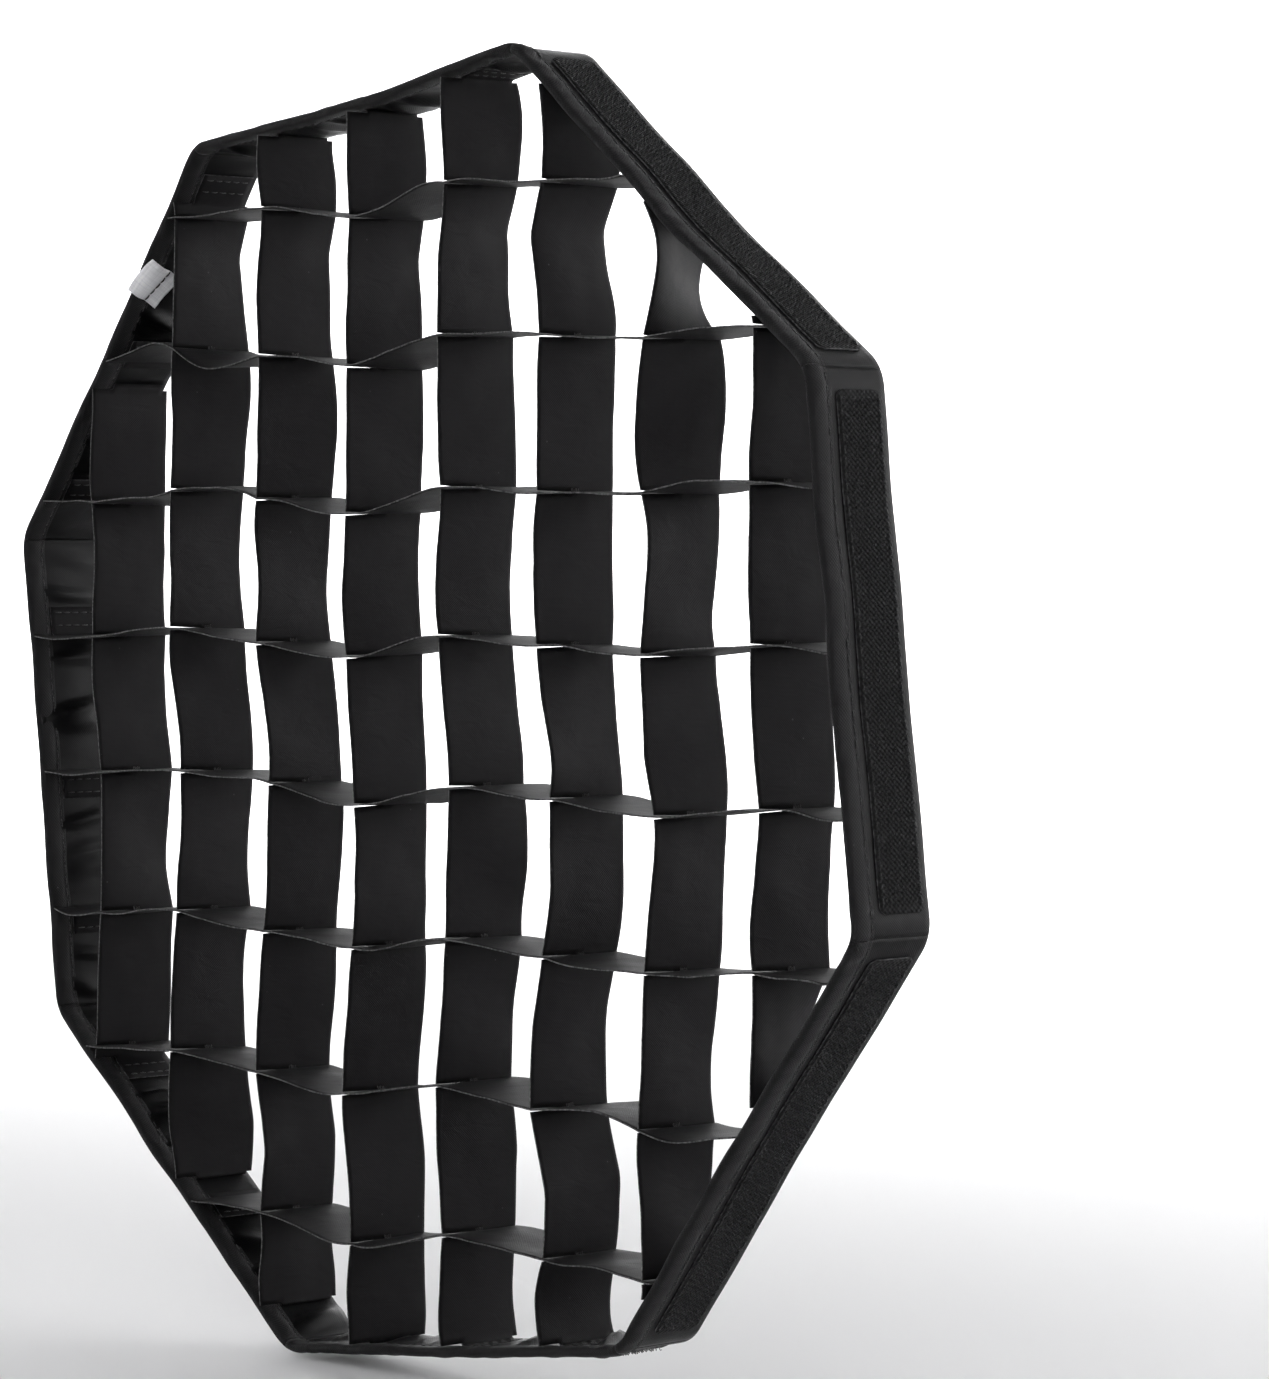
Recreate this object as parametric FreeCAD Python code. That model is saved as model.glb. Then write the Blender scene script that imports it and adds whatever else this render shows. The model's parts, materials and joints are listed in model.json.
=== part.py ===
"""An octagonal light grid for a softbox, sewn from black cloth.

Two families of crossing strips are slotted together half and half, like the dividers of an egg crate,
and their ends are sewn to a border band. Hook tape on the outside of the band holds the grid inside
the rim of the softbox. A binding folded over the band's front edge moves back when the grid is
flattened for packing, and carries a small cloth label.

Frame: the grid stands upright. -Y is the front, towards the subject, +X is to the right as seen from
the front, and +Z is up. The origin is on the grid's axis, in the plane of its rear edges.
Each sub-part is written to parts/NAME.step, in millimetres.
"""

import FreeCAD, Part
import math
import os

from FreeCAD import Placement, Rotation, Vector

# ---- driving dimensions, in millimetres and degrees ----
SIDES = 8
ACROSS_FLATS = 364.0  # over the hook tape
SIDE_TURN = 7.0  # the first side's normal against +X, anticlockwise as seen from the front
STRIP_COUNT = 8  # strips in each family
STRIP_PITCH = 42.5
GRID_DEPTH = 28.0
CLOTH = 0.5  # thickness of a strip
SLOT_WIDTH = 1.6  # wider than the cloth, so that the strips slip together
TAPE_THICKNESS = 1.8
TAPE_WIDTH = 16.0
TAPE_END_GAP = 6.5  # bare band between a tape's end and the corner
BAND_THICKNESS = 1.2  # the border cloth, folded double
BINDING_WIDTH = 7.0  # how far the binding reaches back from the front edge
BINDING_LEG = 0.45
BINDING_WEB = 0.6
BINDING_CLEARANCE = 0.05
TAB_LENGTH = 9.0  # the turned-over end of a strip, where there is room
TAB_FRONT = 7.5  # from the front edge to the tab
TAB_REAR = 2.0  # from the tab to the rear edge
TAB_CLEARANCE = 1.0  # between two tabs that point at each other
STRIP_END_CLEARANCE = 0.2  # between a strip's end and the binding
TACK_LONG = 4.0
TACK_TALL = 2.0
TACK_THICK = 0.8
LABEL_WIDTH = 12.0
LABEL_THICKNESS = 0.3
LABEL_SEAM = 6.0  # from the front edge to the seam that the label bends at
LABEL_FLAP = 8.5  # from that seam forward, past the front edge
LABEL_TAIL = 4.0  # from that seam rearward
LABEL_SIDE = 4  # the upper left side, as seen from the front
LABEL_ALONG = -26.0  # from the middle of that side, anticlockwise

# ---- worked out from them ----
HALF_STEP = math.pi / SIDES
TAPE_OUT = ACROSS_FLATS / 2
BAND_OUT = TAPE_OUT - TAPE_THICKNESS
BAND_IN = BAND_OUT - BAND_THICKNESS
TAB_IN = BAND_IN - CLOTH
BINDING_IN = BAND_IN - BINDING_CLEARANCE - BINDING_LEG
BINDING_OUT = BAND_OUT + BINDING_CLEARANCE + BINDING_LEG
STRIP_END = BINDING_IN - STRIP_END_CLEARANCE
BAND_FRONT = -GRID_DEPTH + BINDING_WEB + BINDING_CLEARANCE
TAB_Y = (-GRID_DEPTH + TAB_FRONT, -TAB_REAR)
STRIP_PLACES = [(n - (STRIP_COUNT - 1) / 2) * STRIP_PITCH for n in range(STRIP_COUNT)]
FAR = ACROSS_FLATS  # longer than any strip


def side_angle(side):
    """The direction of a side's outward normal, from +X towards +Z, in radians. Sides count from 1."""
    return math.radians(SIDE_TURN) + 2 * (side - 1) * HALF_STEP


def point(side, out, along, y=0.0):
    """A point at a distance out from the axis, and along the side from its middle."""
    a = side_angle(side)
    return Vector(
        out * math.cos(a) - along * math.sin(a), y, out * math.sin(a) + along * math.cos(a)
    )


def prism(corners, y_low, y_high):
    """A solid with the given outline in the XZ plane, between two values of y."""
    outline = [Vector(c.x, y_low, c.z) for c in corners]
    face = Part.Face(Part.makePolygon(outline + outline[:1]))
    return face.extrude(Vector(0, y_high - y_low, 0))


def octagon(apothem, y_low, y_high):
    """A full octagonal prism."""
    half = apothem * math.tan(HALF_STEP)
    return prism([point(s, apothem, -half) for s in range(1, SIDES + 1)], y_low, y_high)


def mitred_bar(side, inner, outer, y_low, y_high):
    """One side of an octagonal ring, with mitred ends."""
    t = math.tan(HALF_STEP)
    corners = [
        point(side, inner, -inner * t),
        point(side, outer, -outer * t),
        point(side, outer, outer * t),
        point(side, inner, inner * t),
    ]
    return prism(corners, y_low, y_high)


def side_plate(side, inner, outer, along_low, along_high, y_low, y_high):
    """A flat plate that lies along one side."""
    corners = [
        point(side, inner, along_low),
        point(side, outer, along_low),
        point(side, outer, along_high),
        point(side, inner, along_high),
    ]
    return prism(corners, y_low, y_high)


def border_panel(side):
    """The folded cloth of one side, from its front edge in the binding to the rear edge."""
    return mitred_bar(side, BAND_IN, BAND_OUT, BAND_FRONT, 0.0)


def hook_tape(side):
    """The hook tape on the outside of one side's border cloth, with clipped corners."""
    half = BAND_OUT * math.tan(HALF_STEP) - TAPE_END_GAP
    middle = (-GRID_DEPTH + BINDING_WIDTH) / 2
    plate = side_plate(
        side, BAND_OUT, TAPE_OUT, -half, half, middle - TAPE_WIDTH / 2, middle + TAPE_WIDTH / 2
    )
    normal = point(side, 1.0, 0.0)
    upright = [e for e in plate.Edges if abs(e.tangentAt(0).dot(normal)) > 0.99]
    return plate.makeChamfer(2.0, upright)


def hem_binding(side):
    """The binding folded over the front edge of one side, open to the rear."""
    rear = -GRID_DEPTH + BINDING_WIDTH
    outside = mitred_bar(side, BINDING_IN, BINDING_OUT, -GRID_DEPTH, rear)
    hollow = mitred_bar(
        side,
        BAND_IN - BINDING_CLEARANCE,
        BAND_OUT + BINDING_CLEARANCE,
        -GRID_DEPTH + BINDING_WEB,
        rear + 1.0,
    )
    return outside.cut(hollow)


def strip_ends():
    """Where each strip meets the border: {(family, number): [(side, along, which end), ...]}."""
    found = {}
    for family in ("upright", "level"):
        for n, place in enumerate(STRIP_PLACES, start=1):
            for sign in (1, -1):
                way = (0.0, sign) if family == "upright" else (sign, 0.0)
                base = (place, 0.0) if family == "upright" else (0.0, -place)
                hits = []
                for side in range(1, SIDES + 1):
                    a = side_angle(side)
                    nx, nz = math.cos(a), math.sin(a)
                    slope = way[0] * nx + way[1] * nz
                    if slope > 1e-6:
                        reach = (BAND_IN - base[0] * nx - base[1] * nz) / slope
                        x, z = base[0] + way[0] * reach, base[1] + way[1] * reach
                        hits.append((reach, side, -x * nz + z * nx))
                reach, side, along = min(hits)
                found.setdefault((family, n), []).append((side, along))
    return found


def tab_spans(ends):
    """The stretch of the side that each strip end's tab covers, turned away from its nearest neighbour."""
    corner = BAND_IN * math.tan(HALF_STEP)
    spans = {}
    for key, pair in ends.items():
        for end, (side, along) in enumerate(pair):
            others = [
                a
                for k, p in ends.items()
                for e, (s, a) in enumerate(p)
                if s == side and (k, e) != (key, end)
            ]
            above = min([a - along for a in others if a > along] or [2 * (corner - along)])
            below = min([along - a for a in others if a < along] or [2 * (corner + along)])
            room = max(above, below) / 2 - TAB_CLEARANCE
            length = min(TAB_LENGTH, room)
            spans[key, end] = (
                (side, along, along + length) if above >= below else (side, along - length, along)
            )
    return spans


def strip(family, number, spans):
    """One strip: a flat ribbon with a half-depth slot at each crossing and a turned tab at each end."""
    place = STRIP_PLACES[number - 1]
    place = place if family == "upright" else -place
    half = CLOTH / 2

    def ribbon(y_low, y_high):
        if family == "upright":
            return Part.makeBox(CLOTH, y_high - y_low, 2 * FAR, Vector(place - half, y_low, -FAR))
        return Part.makeBox(2 * FAR, y_high - y_low, CLOTH, Vector(-FAR, y_low, place - half))

    solid = ribbon(-GRID_DEPTH, 0.0).common(octagon(STRIP_END, -GRID_DEPTH, 0.0))
    neck = ribbon(*TAB_Y).common(octagon(BAND_IN, *TAB_Y))
    solid = solid.fuse(neck)
    for end in (0, 1):
        side, low, high = spans[(family, number), end]
        solid = solid.fuse(side_plate(side, TAB_IN, BAND_IN, low, high, *TAB_Y))
    middle = -GRID_DEPTH / 2
    for other in STRIP_PLACES:
        if family == "upright":
            slot = Part.makeBox(
                4 * CLOTH, GRID_DEPTH, SLOT_WIDTH,
                Vector(place - 2 * CLOTH, middle - GRID_DEPTH, other - SLOT_WIDTH / 2),
            )
        else:
            slot = Part.makeBox(
                SLOT_WIDTH, GRID_DEPTH, 4 * CLOTH,
                Vector(other - SLOT_WIDTH / 2, middle, place - 2 * CLOTH),
            )
        if inside(*((place, other) if family == "upright" else (other, place))):
            solid = solid.cut(slot)
    return solid.removeSplitter()


def inside(x, z):
    """Whether a crossing lies within the border, clear of the tabs."""
    reach = max(
        x * math.cos(side_angle(s)) + z * math.sin(side_angle(s)) for s in range(1, SIDES + 1)
    )
    return reach < TAB_IN - 1.0


def crossing_tacks():
    """A bar of thread in one corner of each crossing, at half depth."""
    bars = []
    for x in STRIP_PLACES:
        for z in STRIP_PLACES:
            if inside(x, z):
                corner = Vector(x + CLOTH / 2, -(GRID_DEPTH + TACK_LONG) / 2, z + CLOTH / 2)
                bars.append(Part.makeBox(TACK_THICK, TACK_LONG, TACK_TALL, corner))
    return Part.makeCompound(bars)


def care_label(forward, rearward):
    """A stretch of the cloth label on the inside of the binding, measured from the seam it bends at."""
    outer = BINDING_IN - BINDING_CLEARANCE
    seam = -GRID_DEPTH + LABEL_SEAM
    low = LABEL_ALONG - LABEL_WIDTH / 2
    return side_plate(
        LABEL_SIDE,
        outer - LABEL_THICKNESS,
        outer,
        low,
        low + LABEL_WIDTH,
        seam - forward,
        seam + rearward,
    )


def main():
    os.makedirs("parts", exist_ok=True)
    shapes = {}
    for side in range(1, SIDES + 1):
        shapes[f"border_panel_{side}"] = border_panel(side)
        shapes[f"hook_tape_{side}"] = hook_tape(side)
        shapes[f"hem_binding_{side}"] = hem_binding(side)
    spans = tab_spans(strip_ends())
    for number in range(1, STRIP_COUNT + 1):
        for family in ("upright", "level"):
            shapes[f"{family}_strip_{number}"] = strip(family, number, spans)
    shapes["crossing_tacks"] = crossing_tacks()
    shapes["care_label_flap"] = care_label(LABEL_FLAP, 0.0)
    shapes["care_label_tail"] = care_label(0.0, LABEL_TAIL)
    for name, shape in shapes.items():
        if not shape.isValid() or not shape.Solids:
            raise SystemExit(f"{name} isn't a valid solid")
        shape.exportStep(f"parts/{name}.step")
        print(name, len(shape.Solids), round(shape.Volume, 1))


main()
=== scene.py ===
"""The looks of the octagonal cloth light grid: strips, border band, binding, hook tape and label.

Everything is in metres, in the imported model's frame: -Y is the front, +X is to the right as seen
from the front, and +Z is up. Rows and columns of crossings count from 0, from the bottom and from
the left. Sides of the border count from 1.
"""

import json
import math
import random

import bpy
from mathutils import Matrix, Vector, noise as noises

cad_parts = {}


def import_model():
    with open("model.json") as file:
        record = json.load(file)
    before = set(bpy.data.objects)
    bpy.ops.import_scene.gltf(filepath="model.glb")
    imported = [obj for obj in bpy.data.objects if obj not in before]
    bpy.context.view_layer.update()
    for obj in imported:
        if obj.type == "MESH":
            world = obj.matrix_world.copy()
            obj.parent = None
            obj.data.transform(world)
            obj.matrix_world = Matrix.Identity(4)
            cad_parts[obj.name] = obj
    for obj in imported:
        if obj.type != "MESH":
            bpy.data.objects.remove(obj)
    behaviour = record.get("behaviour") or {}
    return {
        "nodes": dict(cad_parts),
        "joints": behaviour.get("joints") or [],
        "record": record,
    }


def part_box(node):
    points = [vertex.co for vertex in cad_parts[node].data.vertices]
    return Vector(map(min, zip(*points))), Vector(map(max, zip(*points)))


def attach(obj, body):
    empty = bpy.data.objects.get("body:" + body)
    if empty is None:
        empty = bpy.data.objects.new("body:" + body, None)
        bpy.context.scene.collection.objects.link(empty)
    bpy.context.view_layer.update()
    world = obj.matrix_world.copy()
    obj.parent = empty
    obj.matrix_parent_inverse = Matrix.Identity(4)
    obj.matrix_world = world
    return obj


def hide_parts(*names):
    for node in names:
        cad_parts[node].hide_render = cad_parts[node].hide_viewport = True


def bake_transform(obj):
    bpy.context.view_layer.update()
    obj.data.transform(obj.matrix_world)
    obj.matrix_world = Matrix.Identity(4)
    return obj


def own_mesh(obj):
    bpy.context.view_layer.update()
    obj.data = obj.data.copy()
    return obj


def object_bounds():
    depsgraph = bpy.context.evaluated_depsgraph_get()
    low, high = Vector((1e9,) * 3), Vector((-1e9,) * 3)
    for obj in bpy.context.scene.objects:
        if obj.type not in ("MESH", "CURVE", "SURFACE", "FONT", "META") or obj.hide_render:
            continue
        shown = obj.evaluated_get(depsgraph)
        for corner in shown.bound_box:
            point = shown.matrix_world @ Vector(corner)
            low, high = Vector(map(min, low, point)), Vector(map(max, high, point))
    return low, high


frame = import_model()
cad_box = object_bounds()

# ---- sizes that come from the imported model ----
MM = 0.001
FACES = [m for m in frame["record"]["mounts"] if m["name"].startswith("hook_face")]
SIDES = len(FACES)
HALF_STEP = math.pi / SIDES
TURN = math.atan2(FACES[0]["axis"][2], FACES[0]["axis"][0])
TAPE_OUT = math.hypot(FACES[0]["pos_m"][0], FACES[0]["pos_m"][2])
TAPE_MIDDLE = FACES[0]["pos_m"][1]
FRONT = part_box("hem_binding_1")[0].y
DEPTH = -FRONT
STRIP_COUNT = sum(n.startswith("upright_strip") for n in frame["nodes"])

# ---- sizes of the cloth, as in the part ----
PITCH = 42.5 * MM
TAPE_THICKNESS = 1.8 * MM
TAPE_WIDTH = 16.0 * MM
TAPE_END_GAP = 6.5 * MM
TAPE_CORNER = 2.0 * MM
HOOK_PITCH = 1.45 * MM
BAND_THICKNESS = 1.2 * MM
BINDING_WIDTH = 7.0 * MM
BINDING_LEG = 0.5 * MM
BINDING_SEAM = 5.9 * MM  # from the front edge
SLOT_WIDTH = 1.5 * MM
CLOTH = 0.42 * MM
COLUMN_STEP = 1.9 * MM  # between a strip's columns of points
END_GAP = 1.1 * MM  # between a strip's straight part and the band
TAB_LENGTH = 9.0 * MM
LABEL_SIDE = 4
LABEL_WIDTH = 12.0 * MM
LABEL_TURN = math.radians(25)  # the label is sewn on askew
TAB_CLEARANCE = 1.0 * MM
TAB_SPAN = (7.5 / 28.0, 26.0 / 28.0)  # shares of the depth, from the front
BAND_OUT = TAPE_OUT - TAPE_THICKNESS
BAND_IN = BAND_OUT - BAND_THICKNESS
BINDING_IN = BAND_IN - BINDING_LEG
BINDING_OUT = BAND_OUT + BINDING_LEG
PLACES = [(n - (STRIP_COUNT - 1) / 2) * PITCH for n in range(STRIP_COUNT)]

# ---- how the cloth hangs ----
COLUMN_RISE = [v * MM for v in (0.0, 2.5, -0.5, -4.0, 2.5, 0.0, -1.5, 1.5)]  # of the front edges
ROW_SHIFT = [v * MM for v in (0.5, -3.0, 1.0, 3.0, -1.0, -1.0, -0.5, 0.5)]
FOLD_LINES = (-3.02 * PITCH, 3.18 * PITCH)  # where the grid was folded for packing
# How far each wall bows at its front and rear edge, in mm. Uprights: from the left, each from its top
# cell down, bowing to the right. Level strips: from the top, each from its left cell, bowing up.
UPRIGHT_BOWS = (
    ((0, 0), (0.5, 0.5), (-0.5, 0), (1.5, -1), (-1, -1.5), (0, -3.5), (0, 0.5), (0.5, 0), (0, 0)),
    ((0, 0), (0, -4.5), (0, 2), (0, -2), (-1, 1), (0, -2.5), (-0.5, -2), (-2.5, 2.5), (0, 0)),
    ((-1, 0.5), (-1.5, -3.5), (0, 2.5), (0, -2), (1, 0), (0.5, 1.5), (0, 0.5), (3.5, 1.5), (0, -1)),
    ((-1, 1), (-1, -2.5), (0, 0.5), (-1.5, -1), (0, 0), (0.5, 0), (-0.5, 0.5), (1, 2), (-1, 0)),
    ((-0.5, 2), (-1, -5), (-0.5, -0.5), (-0.5, -1), (0.5, 0), (-0.5, 1), (0, -1), (-0.5, 1.5), (-2, -2)),
    ((1.5, 1), (-4.5, -5.5), (-1, 0), (-1, 0.5), (2, 0), (1, 2), (-0.5, -2.5), (4, 4), (-4, -3)),
    ((0, 0), (6, -8), (-2.5, 2), (2.5, -0.5), (-1, 1), (0.5, -0.5), (0, -2), (-0.5, -2), (0, 0)),
    ((0, 0), (0, 0), (0, 0.5), (0, 0), (-1.5, 1.5), (-1.5, -1.5), (0.5, -7), (0, 0), (0, 0)),
)
LEVEL_BOWS = (
    (0, 0, 0, 0, 0.5, 0, -0.5, 0, 0),
    (0, 2.5, -5.5, 1, 0, 0.5, -0.5, 1, -1),
    (0.5, -1, 2, 0, -0.5, 0, -0.5, 1.5, 0.5),
    (-0.5, 0, -0.5, -0.5, 0, -0.5, 0.5, 0.5, 1),
    (-1, 0, 0, -0.5, 0, -0.5, -0.5, 0.5, 1),
    (-1.5, 0, -1, 1, -0.5, -0.5, -0.5, -0.5, 0),
    (0, 0, 0, -0.5, 0, -0.5, 3, -2, 0),
    (0, 0, 0, -0.5, -1, 0, 0.5, 0, 0),
)
SIDE_SAG = [v * MM for v in (0.5, 1.6, 1.9, 0.6, 0.4, 0.2, -0.6, 0.6)]
CORNER_RADIUS = 12.0 * MM
CALM_AT_BAND = 26.0 * MM  # a crossing this far from the band is free to shift
SHORT_CELL = 24.0 * MM  # a shorter wall bows less


def clamp(value, low=0.0, high=1.0):
    return max(low, min(high, value))


def smooth(value):
    value = clamp(value)
    return value * value * (3 - 2 * value)


def ripple(x, y, z):
    """Smooth unevenness between about -1 and 1. It changes over a step of 1."""
    return noises.noise(Vector((x, y, z)))


def side_angle(side):
    """The direction of a side's outward normal. Sides count from 1."""
    return TURN + 2 * (side - 1) * HALF_STEP


def half_side(out):
    return out * math.tan(HALF_STEP)


def sag(side, along):
    """How far a side of the border hangs in from its straight line. It is nothing at the corners."""
    free = (1 - clamp(abs(along) / half_side(BAND_IN)) ** 2) ** 1.5
    wave = ripple(along / (30 * MM), 4.4 * side, 1.0)
    return free * (SIDE_SAG[side - 1] + 1.1 * MM * wave)


def side_point(side, out, along, y):
    """A point by its distance out from the axis and along a side, with the corners rounded."""
    radius = CORNER_RADIUS + out - BAND_IN
    turn_start = half_side(BAND_IN - CORNER_RADIUS)
    inward = sag(side, along)
    beyond = abs(along) - turn_start
    if beyond > 0:
        turn = HALF_STEP * clamp(beyond / (half_side(out) - turn_start))
        along = math.copysign(turn_start + radius * math.sin(turn), along)
        out -= radius * (1 - math.cos(turn))
    out -= inward
    a = side_angle(side)
    return Vector(
        (out * math.cos(a) - along * math.sin(a), y, out * math.sin(a) + along * math.cos(a))
    )


# ---------------------------------------------------------------- materials


def node_tree(name):
    """A new material with only its output and a Principled shader: (material, tree, shader)."""
    material = bpy.data.materials.new(name)
    material.use_nodes = True
    tree = material.node_tree
    return material, tree, tree.nodes["Principled BSDF"]


def add(tree, kind, inputs=(), **settings):
    """A node with its settings and inputs; an input is a value or another node's output."""
    node = tree.nodes.new(kind)
    for key, value in settings.items():
        setattr(node, key, value)
    for key, value in dict(inputs).items():
        if isinstance(value, bpy.types.NodeSocket):
            tree.links.new(value, node.inputs[key])
        else:
            node.inputs[key].default_value = value
    return node


def maths(tree, operation, *values):
    return add(tree, "ShaderNodeMath", dict(enumerate(values)), operation=operation).outputs[0]


def cloth_place(tree, scale):
    """The place on the flat cloth, in metres, multiplied by scale along its length and across it."""
    place = add(tree, "ShaderNodeAttribute", attribute_name="cloth_place").outputs["Vector"]
    mapping = add(tree, "ShaderNodeMapping", {"Vector": place, "Scale": scale})
    return mapping.outputs["Vector"]


def cloth_noise(tree, scale, detail, **inputs):
    """Noise on the flat cloth."""
    inputs = {"Vector": cloth_place(tree, scale), "Scale": 1.0, "Detail": detail, **inputs}
    return add(tree, "ShaderNodeTexNoise", inputs).outputs["Fac"]


def two_tone(tree, value, dark, light, low=0.0, high=1.0):
    """A colour that runs from dark, where a value is low, to light, where it is high."""
    ramp = add(tree, "ShaderNodeValToRGB", {"Fac": value})
    for element, colour, position in zip(ramp.color_ramp.elements, (dark, light), (low, high)):
        element.position = position
        element.color = (*colour, 1)
    return ramp.outputs["Color"]


def bumped(tree, height, strength, distance, **inputs):
    """A normal with some relief added to it."""
    inputs = {"Height": height, "Strength": strength, "Distance": distance, **inputs}
    return add(tree, "ShaderNodeBump", inputs).outputs["Normal"]


def weave_height(tree, thread):
    """A plain weave: threads that pass over and under each other."""
    split = add(tree, "ShaderNodeSeparateXYZ", {"Vector": cloth_place(tree, (1, 1, 1))})
    turn = math.pi / thread
    over = maths(tree, "SINE", maths(tree, "MULTIPLY", split.outputs["X"], turn))
    under = maths(tree, "SINE", maths(tree, "MULTIPLY", split.outputs["Y"], turn))
    return maths(tree, "MULTIPLY", over, under)


def cloth_material(name, colour, thread, rough, sheen, relief, specular, lint=0.35):
    """Woven cloth: thread relief, faint streaks along the yarns, soft creases, mottling and lint."""
    material, tree, shader = node_tree(name)
    weave = weave_height(tree, thread)
    streaks = cloth_noise(tree, (60, 1900, 1), 3.0)
    picks = cloth_noise(tree, (1900, 60, 1), 3.0)
    mottle = cloth_noise(tree, (45, 60, 45), 5.0, Roughness=0.6)
    crease = cloth_noise(tree, (190, 90, 90), 4.0, Distortion=0.8)
    specks = add(
        tree, "ShaderNodeTexVoronoi",
        {"Vector": cloth_place(tree, (110, 110, 110)), "Scale": 1.0, "Randomness": 1.0},
    ).outputs["Distance"]
    tone = maths(tree, "MULTIPLY", mottle, 0.55)
    tone = maths(tree, "ADD", tone, maths(tree, "MULTIPLY", streaks, 0.3))
    tone = maths(tree, "ADD", tone, maths(tree, "MULTIPLY", picks, 0.3))
    colours = two_tone(tree, tone, [c * 0.72 for c in colour], [c * 1.3 for c in colour], 0.38, 0.78)
    fleck = add(
        tree, "ShaderNodeMapRange",
        {"Value": specks, "From Min": 0.035, "From Max": 0.012, "To Min": 0.0, "To Max": lint},
    ).outputs["Result"]
    pale = add(tree, "ShaderNodeMix", {"Factor": fleck, "A": colours}, data_type="RGBA")
    pale.inputs["B"].default_value = (0.16, 0.16, 0.17, 1)
    tree.links.new(pale.outputs["Result"], shader.inputs["Base Color"])
    roughness = add(
        tree, "ShaderNodeMapRange",
        {"Value": mottle, "To Min": rough - 0.08, "To Max": rough + 0.1},
    ).outputs["Result"]
    tree.links.new(roughness, shader.inputs["Roughness"])
    fine = bumped(tree, weave, 0.45 * relief, thread * 0.35)
    soft = bumped(tree, crease, 0.5 * relief, 0.9 * MM, Normal=fine)
    tree.links.new(soft, shader.inputs["Normal"])
    shader.inputs["Sheen Weight"].default_value = sheen
    shader.inputs["Sheen Roughness"].default_value = 0.45
    shader.inputs["Specular IOR Level"].default_value = specular
    return material


def cut_edge_highlight_material():
    """The edge of the cloth, melted where a hot knife cut it, with a painted highlight: a paler colour
    that stands for the light its thin edge catches.
    """
    material, tree, shader = node_tree("heat_cut_edge_painted_highlight")
    drops_and_highlight = cloth_noise(tree, (900, 900, 900), 4.0)
    # painted highlight: the rims are coloured up to twenty times paler than the cloth, for the light a
    # thin cut edge catches; the same noise also gives the melted drops' relief
    colours = two_tone(tree, drops_and_highlight, (0.022, 0.0215, 0.0225), (0.15, 0.147, 0.15), 0.35, 0.7)
    tree.links.new(colours, shader.inputs["Base Color"])
    tree.links.new(bumped(tree, drops_and_highlight, 0.6, 0.2 * MM), shader.inputs["Normal"])
    shader.inputs["Roughness"].default_value = 0.55
    shader.inputs["Specular IOR Level"].default_value = 0.2
    return material


def thread_material(name, colour):
    """Twisted sewing thread."""
    material, tree, shader = node_tree(name)
    place = add(tree, "ShaderNodeTexCoord").outputs["Object"]
    twist = add(
        tree, "ShaderNodeTexWave",
        {"Vector": place, "Scale": 900.0, "Distortion": 1.5, "Detail": 1.0},
        bands_direction="DIAGONAL",
    ).outputs["Fac"]
    colours = two_tone(tree, twist, [c * 0.6 for c in colour], [c * 1.3 for c in colour])
    tree.links.new(colours, shader.inputs["Base Color"])
    tree.links.new(bumped(tree, twist, 0.5, 0.1 * MM), shader.inputs["Normal"])
    shader.inputs["Roughness"].default_value = 0.6
    shader.inputs["Sheen Weight"].default_value = 0.2
    return material


def hook_material():
    """Moulded nylon hooks, a little glossy."""
    material, tree, shader = node_tree("nylon_hooks")
    place = add(tree, "ShaderNodeTexCoord").outputs["Object"]
    tone = add(
        tree, "ShaderNodeTexNoise", {"Vector": place, "Scale": 420.0, "Detail": 2.0}
    ).outputs["Fac"]
    colours = two_tone(tree, tone, (0.008, 0.008, 0.009), (0.03, 0.03, 0.032))
    tree.links.new(colours, shader.inputs["Base Color"])
    shader.inputs["Roughness"].default_value = 0.42
    return material


def paper_material():
    """The pale, matt paper of the stage."""
    material, _, shader = node_tree("pale_paper")
    shader.inputs["Base Color"].default_value = (0.88, 0.88, 0.885, 1)
    shader.inputs["Roughness"].default_value = 0.9
    return material


STRIP_CLOTH = cloth_material(
    "black_polyester", (0.0074, 0.0069, 0.0075), thread=0.36 * MM, rough=0.64, sheen=0.01,
    relief=0.5, specular=0.11,
)
BAND_CLOTH = cloth_material(
    "black_band_cloth", (0.0024, 0.0023, 0.0026), thread=0.4 * MM, rough=0.38, sheen=0.015,
    relief=0.5, specular=0.12,
)
HEM_CLOTH = cloth_material(
    "black_binding_tape", (0.0078, 0.0075, 0.008), thread=0.5 * MM, rough=0.66, sheen=0.03,
    relief=0.9, specular=0.18,
)
TAPE_CLOTH = cloth_material(
    "black_tape_ground", (0.0062, 0.0062, 0.0066), thread=0.8 * MM, rough=0.75, sheen=0.03,
    relief=1.3, specular=0.15,
)
SATIN = cloth_material(
    "white_satin", (0.86, 0.86, 0.88), thread=0.25 * MM, rough=0.42, sheen=0.3,
    relief=0.5, lint=0.0, specular=0.6,
)
# the rims of every cloth piece get this painted highlight
CUT_EDGE_HIGHLIGHT = cut_edge_highlight_material()
THREAD = thread_material("black_sewing_thread", (0.009, 0.0087, 0.0094))
HOOKS = hook_material()


# ---------------------------------------------------------------- mesh helpers


def new_object(name, vertices, faces, materials, places=None):
    """A smooth-shaded mesh. places are its vertices' places on the flat cloth."""
    mesh = bpy.data.meshes.new(name)
    mesh.from_pydata([tuple(v) for v in vertices], [], faces)
    for material in materials:
        mesh.materials.append(material)
    places = places or [(v[0] + v[2], v[1], 0.0) for v in vertices]
    attribute = mesh.attributes.new("cloth_place", "FLOAT_VECTOR", "POINT")
    attribute.data.foreach_set("vector", [c for p in places for c in p])
    mesh.polygons.foreach_set("use_smooth", [True] * len(faces))
    mesh.update()
    obj = bpy.data.objects.new(name, mesh)
    bpy.context.scene.collection.objects.link(obj)
    return obj


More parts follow.
